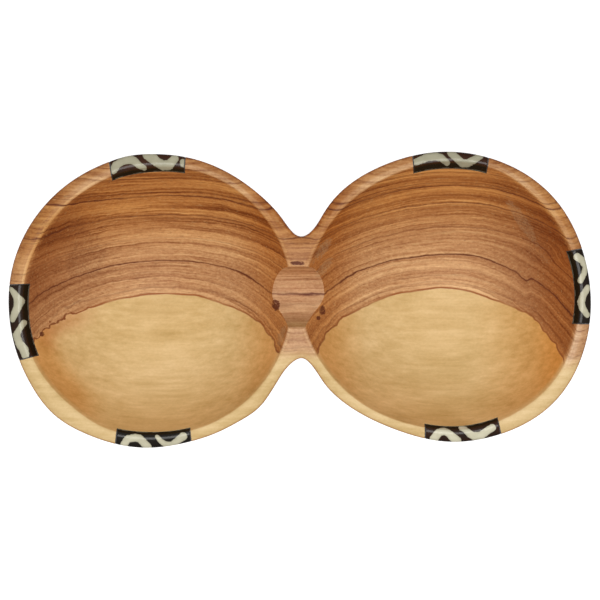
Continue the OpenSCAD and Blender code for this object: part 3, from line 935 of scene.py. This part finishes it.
def wood_finish(look, height):
    """Oiled wood: fanned growth rings along X, heartwood behind and sapwood in front, pores and fibres."""
    f = Finish("oiled_wood")
    x, y = f.x, f.y
    depth = (height / MM - f.z).at_least(0)
    reach = abs(x)
    near_neck = reach.ramp(26, 8)

    # Rings lean back with depth, less so at the back of the left bowl. Their lines lie higher at the upper
    # left, and lower by the neck and toward the right end, where there is a kink.
    slow = f.streaks(0.022, 0.07, detail=3)
    jitter = f.streaks(0.3, 0.5, detail=3)
    waver = (slow * 2.2 + f.streaks(0.09, 0.35) * 1.2 + jitter * 0.7
             + near_neck * y.ramp(14, 4) * 1.7
             + x.ramp(-55, -85) * y.ramp(22, 30) * -1.8
             + (x.ramp(58, 78, 0, 2.6) + x.ramp(82, 94, 0, 2)) * y.ramp(20, 12)
             + x.ramp(75.5, 80) * x.ramp(82.2, 80) * y.ramp(11, 8, 0, 1.7))
    lean = x * 0.0012 + 0.705
    spread = (x * 0.000082 - 0.0041) * depth + 1
    ring = (y + waver - lean * depth) / spread

    # Edge of the heartwood, curlier toward the two ends and the neck, and washed out on the rim
    curly = 1.2 + x.ramp(-70, -86, 0, 5) + x.ramp(70, 86, 0, 1.5) + near_neck * 2.5
    edge = (y + slow * 2 + f.streaks(0.12, 0.2) * curly + jitter * x.ramp(-72, -80, 0, 3)
            - (x * 0.0008 + 0.795) * depth + x.ramp(-90, -66, -2.4, 0)
            + x.ramp(52, 70, 0, 1.8) + x.ramp(82, 92, 0, 1.5) + 19.5)
    washed = depth.ramp(2, 0.6)
    heart = f.mix_value(washed, edge.ramp(-0.3, 0.3), edge.ramp(-3, 3))
    edge_line = abs(edge).ramp(0.55, 0.1) * (1 - washed)
    edge_twin = abs(edge - 2.5).ramp(0.6, 0.1)

    def ringed(along, across, seed, **settings):
        """Noise that follows the growth rings."""
        return f.noise(x * along, ring * across, seed, **settings)

    # Growth lines, stronger and weaker along their length
    group = growth_line_group()
    patchy = ringed(0.06, 0.5, 0, detail=4)
    lines = sum(f.value("Group", (ring, *line), node_tree=group) for line in GROWTH_LINES)
    lines = (lines + edge_twin * 0.22) * patchy.ramp(-0.2, 0.15, 0.7, 1.5)

    # Broad and fine rings, fibres, grain, pores, pale flecks and slow changes of tone
    bands, broad = ringed(0.006, 0.16, 1, detail=1), ringed(0.01, 0.38, 3)
    fine = ringed(0.02, 1.1, 3, detail=3, roughness=0.6) * patchy.ramp(-0.15, 0.2, 0.4, 1.8)
    fibre = f.streaks(0.1, 1.2, detail=3, roughness=0.7)
    streak = f.streaks(0.045, 0.55, detail=3)
    grain = f.streaks(0.9, 1.3, roughness=0.7)
    ragged = f.streaks(0.7, 1.1, detail=4, roughness=0.7)
    pore = f.streaks(0.3, 1.8).ramp(0.14, 0.2)
    fleck = f.streaks(0.3, 1.7, detail=1).ramp(-0.14, -0.22)
    speck = f.noise(x, y, f.z, scale=1.5).ramp(0.05, 0.15)
    cloud = f.streaks(0.02, 0.05, scale=1.4, detail=3)
    patch = f.streaks(0.07, 0.12, detail=3)

    # Oil soaks in at the two ends. Painted shade darkens steep walls, the walls at both ends, the wood near
    # the neck and the channel's front slope. Wear and painted sheen pale the rim, most where it faces
    # inward, and the web and the channel by the neck are kept out of the painted neck shade
    normal_x, normal_y, normal_z = f.parts(f.value("NewGeometry", output="Normal"))
    steep_shade = normal_z.ramp(0.92, 0.5) * 0.5
    outward = normal_x * (x - f.math("SIGN", x) * 50) + normal_y * y
    crown, rim, below = depth.ramp(0.5, 0.05), depth.ramp(1.3, 0.6), depth.ramp(0.6, 3)
    # A painted highlight along the rim's inner edge
    lip = outward.ramp(-8, -16) * depth.ramp(1, 0.7)
    neck = abs(normal_x).ramp(0.38, 0.25) * reach.ramp(12, 9)
    # Painted shade on the channel's front slope
    channel_front_shade = neck * y.ramp(-4, -10) * depth.ramp(0.3, 1.2)
    # Rim paler away from the two ends: wear, with painted sheen where the rim faces inward
    rim_wear_and_sheen = x.ramp(-90, -72) * x.ramp(76, 88, 1, 0.3) * outward.ramp(14, 4, 0.45, 1)
    # Paler by wear and painted sheen on the rim; on the web and channel this takes off the painted neck
    # shade
    paled = neck.at_least(rim * rim_wear_and_sheen)
    left_foot = x.ramp(-70, -86) * edge.ramp(14, 4)
    end = abs(x + 2.5).ramp(56, 92) * below * (left_foot * -0.5 + 1)
    # Painted shade on the upper wall at the left end
    left_wall_shade = depth.ramp(15, 7) * x.ramp(-66, -80, 0, 0.8)
    # Painted shade on the wall at the right end
    right_wall_shade = x.ramp(80, 92) * below
    # Oil at the right end, and painted shade near the neck and on the left end's wall
    soaked_and_shaded = (x.ramp(58, 92) + near_neck * 0.8 + left_wall_shade) * below
    blush = x.ramp(-68, -82) * edge.ramp(-9, -2) * depth.ramp(4, 11)
    lit_back = x.ramp(10, 40) * ring.ramp(18, 25)

    # Heartwood, with its rings fainter on the rim, and sapwood
    rings = (bands * 0.5 + broad * 0.85 + fine) * ring.ramp(-6, 26, 1, 1.9) * (rim * -0.4 + 1)
    # Lighter tone: wear and painted sheen on the rim's top, and lip, a painted highlight on the inner edge,
    # strongest at the left
    tone = (1 + rings + fibre * 0.7 + grain * 0.6 + cloud * 0.3 + neck * 0.08
            + f.math("SUBTRACT", crown, neck, use_clamp=True) * 0.15 + edge.ramp(4, 1) * 0.08
            + lit_back * 0.14 + lip * x.ramp(-60, -80, 0.2, 0.5))
    heartwood = f.mix(ring.ramp(-8, 28), look.heart, look.old_heart)
    # Painted shade near the neck, on the channel's front slope and on steep walls; wear and painted sheen;
    # oil at the two ends
    for share, tint in ((near_neck, NECK_SHADE_HEART), (paled, WEAR_AND_SHEEN_HEART), (channel_front_shade, CHANNEL_FRONT_SHADE),
                        (steep_shade, STEEP_SHADE_HEART), (end, look.oil)):
        heartwood = f.tint(heartwood, share, tint)
    heartwood = f.shade(heartwood, tone.at_least(0.45).at_most(1.6), 1.45, 1.7)
    sap_tone = (1 + streak * 0.4 + fibre * 0.18 + grain * 0.2 + patch * 0.32 + cloud * 0.4 + crown * 0.06)
    sapwood = f.shade(look.sap, sap_tone, 1.25, 2)
    # Oil with painted shade, painted shade on steep walls, wear and painted sheen on the rim, and the blush
    for share, tint in ((soaked_and_shaded, look.soaked_and_shaded_sap), (steep_shade, STEEP_SHADE_SAP), (rim, WEAR_AND_SHEEN_SAP), (blush, BLUSH_SAP)):
        sapwood = f.tint(sapwood, share, tint)
    wood = f.tint(f.mix(heart, sapwood, heartwood), right_wall_shade, RIGHT_WALL_SHADE)
    wood = f.mix(fleck * heart * 0.2, wood, look.sap)

    # Scuffs, the heartwood's edge, and all that is dark: lines, pores, knots and stains
    for place, long, wide, heading, strength in SCUFFS:
        c, s = math.cos(math.radians(heading)), math.sin(math.radians(heading))
        middle = (place[0] * c + place[1] * s, place[1] * c - place[0] * s)
        scuff = f.spot(x * c + y * s, y * c - x * s, middle, (long, wide), fibre + patch)
        scuff = scuff * grain.ramp(-0.2, 0.2, 0.25, 1) * below * strength
        wood = f.mix(scuff, wood, look.scuff)
    wood = f.mix(edge_line * patch.ramp(-0.2, 0.1, 0.5, 0.95), wood, look.edge)
    dark = (lines * heart + pore * heart * 0.26 + edge_line * (curly - 1.2) * 0.1
            + fine.ramp(-0.1, -0.3) * rim * heart * 0.5)
    for place, size, strength in KNOTS:
        dark += f.spot(x, y, place, size, ragged) * strength * grain.ramp(-0.2, 0, 0.5, 1)
    for place, size, strength in STAINS:
        dark += f.spot(x, y, place, size, patch) * strength * (speck * 0.7 + 0.3)
    wood = f.mix(dark.at_most(0.95), wood, look.late)

    # More oil on the outside, with painted shade on the outer walls
    outside = outward.ramp(0, 8).at_least(normal_z.ramp(0, -0.5)) * normal_z.ramp(0.75, 0.3)
    f.set(Base_Color=f.tint(wood, outside, look.oil), Roughness=fibre.ramp(-0.3, 0.3, 0.38, 0.54),
          Specular_IOR_Level=0.07)
    f.bump(fibre * 0.5 - pore - lines * 0.4, 0.25, 0.08 * MM)
    return f.material


def bone_finish(look, height):
    """Polished bone, dyed dark round pale strokes that the dye was kept off."""
    f = Finish("dyed_bone")
    depth = height / MM - f.z
    resist, brown, bright, foot = (f.value("Attribute", output="Fac", attribute_name=name)
                                   for name in TILE_ATTRIBUTES)
    ragged, blotch = (f.noise(f.x, f.y, f.z, scale=scale, detail=3) for scale in (1.1, 0.35))
    edge = resist + ragged * 0.45
    dyed = edge.ramp(-0.14, 0.14)
    thin_dye = brown * (blotch + ragged * 0.4).ramp(-0.25, 0.25, 0.45, 1) * depth.ramp(0.9, 1.6, 1, 0.1)
    # A pale line along the tile's foot, broken up by blotches
    paled = foot.ramp(0.3, 0.14) * blotch.ramp(-0.1, 0.05) * 0.3
    dye = f.mix(paled, f.mix(thin_dye, look.black, look.brown), look.pale)
    bare_tone = bright * (1 + blotch * 0.4 - edge.ramp(-0.9, 0) * 0.15)
    bare = f.shade(look.pale, bare_tone, 1, 1.1)
    f.set(Base_Color=f.mix(dyed, bare, dye), Roughness=ragged.ramp(-0.3, 0.3, 0.16, 0.28),
          Specular_IOR_Level=depth.ramp(0.4, 1.1, 0.14, 0.05))
    f.bump(ragged * 0.4 - dyed * 0.3, 0.2, 0.05 * MM)
    return f.material


def glue_finish(look):
    """Dark glue, dull and slightly grainy."""
    f = Finish("dark_glue")
    grain = f.noise(f.x, f.y, f.z, scale=3, detail=3)
    f.set(Base_Color=f.shade(look.glue, 1 + grain * 0.9, 1, 1),
          Roughness=grain.ramp(-0.3, 0.3, 0.45, 0.7))
    f.bump(grain, 0.3, 0.05 * MM)
    return f.material


class DISH_OT_wood(bpy.types.Operator):
    """Carves the two bowls, their channel and the notches for the tiles"""

    bl_idname = "olive_dish.wood"
    bl_label = "Carve wood"

    def execute(self, context):
        scene = context.scene
        carving = Carving(scene.dish_sizes)
        bowl = carve_bowl(carving)
        cut_away(bowl, channel_cutter(carving))
        cut_away(bowl, notch_cutter(carving))
        if not bowl.data.polygons:
            raise RuntimeError("the cuts took the whole bowl away")
        bowl.data.materials.clear()
        bowl.data.materials.append(wood_finish(scene.dish_wood, scene.dish_sizes.height))
        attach(bowl, "root")
        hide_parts("twin_bowl")
        return {"FINISHED"}


class DISH_OT_tiles(bpy.types.Operator):
    """Lays the six dyed bone tiles into the rim"""

    bl_idname = "olive_dish.tiles"
    bl_label = "Lay bone tiles"

    def execute(self, context):
        scene = context.scene
        carving = Carving(scene.dish_sizes)
        finish = bone_finish(scene.dish_bone, scene.dish_sizes.height)
        for name in TILES:
            tile = make_tile(carving, name)
            tile.data.materials.append(finish)
            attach(tile, "root")
            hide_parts(f"inlay_{name}")
        return {"FINISHED"}


class DISH_OT_glue(bpy.types.Operator):
    """Runs the dark glue line round each tile"""

    bl_idname = "olive_dish.glue"
    bl_label = "Run glue lines"

    def execute(self, context):
        scene = context.scene
        carving = Carving(scene.dish_sizes)
        finish = glue_finish(scene.dish_bone)
        for name in TILES:
            glue = make_glue(carving, name)
            glue.data.materials.append(finish)
            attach(glue, "root")
            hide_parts(f"glue_{name}")
        return {"FINISHED"}


class DISH_OT_stage(bpy.types.Operator):
    """Sets the floor, the soft light from above and the camera"""

    bl_idname = "olive_dish.stage"
    bl_label = "Set stage"

    def execute(self, context):
        self.floor()
        self.world(context.scene)
        self.softbox()
        self.camera(context.scene)
        context.scene.view_settings.view_transform = "Standard"
        return {"FINISHED"}

    def floor(self):
        """A pale floor that shows the dish's shadow."""
        half, low, white, glow = 4.0, -0.1 * MM, 0.75, 0.8
        corners = [(-half, -half, low), (half, -half, low), (half, half, low), (-half, half, low)]
        floor = new_object("floor", corners, [(0, 1, 2, 3)])
        material = bpy.data.materials.new("pale_floor")
        material.use_nodes = True
        nodes = Nodes(material.node_tree)
        nodes.tree.nodes.clear()
        paper = nodes.value("BsdfDiffuse", {"Color": (white, white, white, 1)})
        light = nodes.value("Emission", {"Strength": nodes.seen_rays() * glow})
        nodes.put(nodes.value("AddShader", (paper, light)), nodes.node("OutputMaterial").inputs[0])
        floor.data.materials.append(material)

    def world(self, scene):
        """Dim light from all round, and white where it is seen."""
        dim = 0.2
        scene.world = bpy.data.worlds.new("studio")
        scene.world.use_nodes = True
        nodes = Nodes(scene.world.node_tree)
        sky = nodes.tree.nodes["Background"].inputs
        nodes.put((1, 1, 1, 1), sky["Color"])
        nodes.put(nodes.value("MapRange", {"Value": nodes.seen_rays(), "To Min": dim}), sky["Strength"])

    def softbox(self):
        """A round softbox above the dish."""
        light = bpy.data.lights.new("softbox", "AREA")
        light.shape, light.size = "DISK", 0.55
        radiance = 11.5
        light.energy = radiance * math.pi * math.pi * (light.size / 2) ** 2
        lamp = bpy.data.objects.new("softbox", light)
        lamp.location = (0.0, -0.06, 1.0)
        lamp.visible_camera = False
        bpy.context.scene.collection.objects.link(lamp)

    def camera(self, scene):
        """A long lens straight above the dish, a hair beside its middle."""
        distance, field, beside = 1.2, 0.2094, (0.1 * MM, -0.1 * MM)
        data = bpy.data.cameras.new("overhead")
        data.sensor_width = 36.0
        data.lens = data.sensor_width * distance / field
        camera = bpy.data.objects.new("overhead", data)
        camera.location = (*beside, scene.dish_sizes.height + distance)
        scene.collection.objects.link(camera)
        scene.camera = camera


class DISH_PT_panel(bpy.types.Panel):
    """The olive dish's operators, sizes and colours"""

    bl_idname = "DISH_PT_panel"
    bl_label = "Olive dish"
    bl_space_type = "VIEW_3D"
    bl_region_type = "UI"
    bl_category = "Olive dish"

    def draw(self, context):
        for operator in OPERATORS:
            self.layout.operator(operator.bl_idname)
        for group in (context.scene.dish_sizes, context.scene.dish_wood, context.scene.dish_bone):
            box = self.layout.box()
            for name in group.bl_rna.properties.keys():
                if name not in ("rna_type", "name"):
                    box.prop(group, name)


GROUPS = {"dish_sizes": DishSizes, "dish_wood": WoodLook, "dish_bone": BoneLook}
OPERATORS = (DISH_OT_wood, DISH_OT_tiles, DISH_OT_glue, DISH_OT_stage)


def register():
    for cls in (*GROUPS.values(), *OPERATORS, DISH_PT_panel):
        bpy.utils.register_class(cls)
    for name, group in GROUPS.items():
        setattr(bpy.types.Scene, name, PointerProperty(type=group))


def unregister():
    for name in GROUPS:
        delattr(bpy.types.Scene, name)
    for cls in (DISH_PT_panel, *reversed(OPERATORS), *GROUPS.values()):
        bpy.utils.unregister_class(cls)


def main():
    """Dresses the frame, piece by piece."""
    register()
    for make in (bpy.ops.olive_dish.wood, bpy.ops.olive_dish.tiles, bpy.ops.olive_dish.glue,
                 bpy.ops.olive_dish.stage):
        make()


if __name__ == "__main__":
    main()
